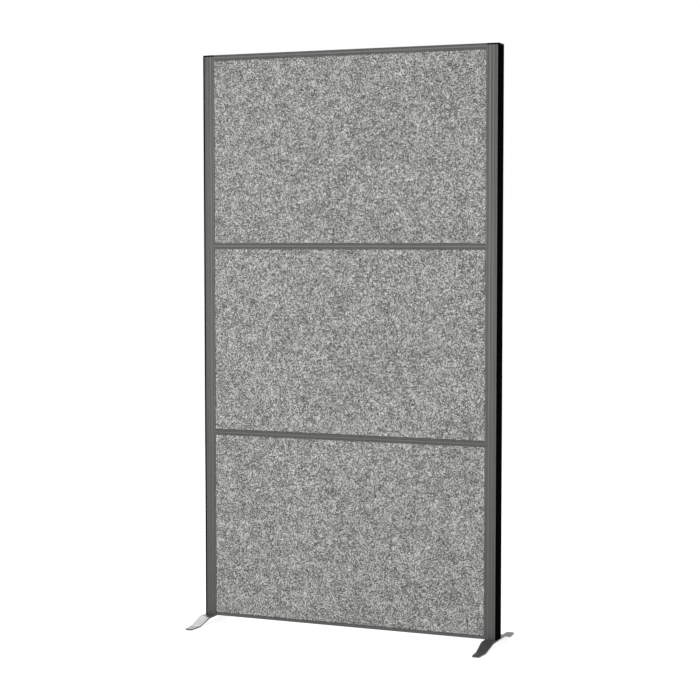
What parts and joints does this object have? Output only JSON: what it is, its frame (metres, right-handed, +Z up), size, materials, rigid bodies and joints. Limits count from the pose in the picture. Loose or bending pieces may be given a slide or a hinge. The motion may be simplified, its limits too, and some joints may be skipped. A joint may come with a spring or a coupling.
{
  "type": "acoustic divider screen",
  "caption": "Free-standing acoustic divider screen: stacked felt panels in a fluted aluminium frame on low bent steel feet.",
  "frame": {"origin": "on the floor, under the middle of the screen", "axes": "+X along the screen, +Y through it from the pictured face to the other, +Z up"},
  "size_m": [0.9962, 0.35, 1.822],
  "materials": {
    "frame_metal": "dark grey, satin, powder coated or anodised",
    "black_plastic": "black, fine satin",
    "felt": "grey melange felt, matt and fibrous",
    "core_board": "plain pressed fibre board, hidden",
    "foot_metal": "dark grey, fine textured powder coat on steel",
    "pad_rubber": "black, matt",
    "plain_steel": "zinc-plated steel"
  },
  "bodies": {
    "root": {"post_left": "frame_metal", "post_right": "frame_metal", "top_rail": "frame_metal", "upper_mid_rail": "frame_metal", "lower_mid_rail": "frame_metal", "bottom_rail": "frame_metal", "edge_strip_left": "black_plastic", "edge_strip_right": "black_plastic", "top_cap_left": "black_plastic", "top_cap_right": "black_plastic", "felt_front_upper": "felt", "felt_front_middle": "felt", "felt_front_lower": "felt", "felt_back_upper": "felt", "felt_back_middle": "felt", "felt_back_lower": "felt", "panel_core_upper": "core_board", "panel_core_middle": "core_board", "panel_core_lower": "core_board", "foot_left": "foot_metal", "foot_right": "foot_metal", "foot_pads_left": "pad_rubber", "foot_pads_right": "pad_rubber", "foot_inserts_left": "plain_steel", "foot_inserts_right": "plain_steel", "foot_bolts_left": "plain_steel", "foot_bolts_right": "plain_steel", "rail_screws_left": "plain_steel", "rail_screws_right": "plain_steel"}
  },
  "joints": []
}
